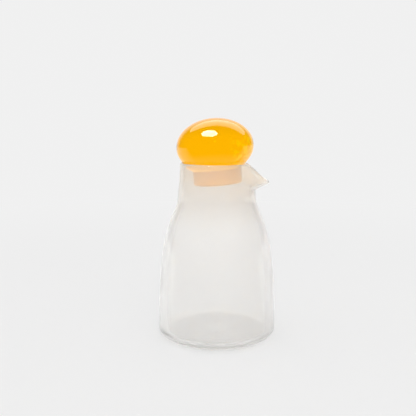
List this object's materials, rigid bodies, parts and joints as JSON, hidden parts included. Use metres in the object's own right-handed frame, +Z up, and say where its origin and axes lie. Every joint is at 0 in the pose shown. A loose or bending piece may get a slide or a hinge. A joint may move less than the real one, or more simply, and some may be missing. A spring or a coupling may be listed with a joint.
{
  "type": "glass carafe with ball stopper",
  "caption": "Hand-blown carafe of faintly milky clear glass with a wide base, soft shoulder and pulled pouring spout, closed by a flattened amber glass ball with a plug stem.",
  "frame": {"origin": "middle of the flat base that the carafe stands on", "axes": "+Z up, +X towards the pouring spout, +Y to the left of the spout"},
  "size_m": [0.102, 0.102, 0.1881],
  "materials": {
    "milky_glass": "clear blown glass with a faint milky haze, fire-polished lip",
    "amber_glass": "solid egg-yolk amber glass, polished, with a few seed bubbles"
  },
  "bodies": {
    "root": {"carafe": "milky_glass", "stopper": "amber_glass"}
  },
  "joints": []
}
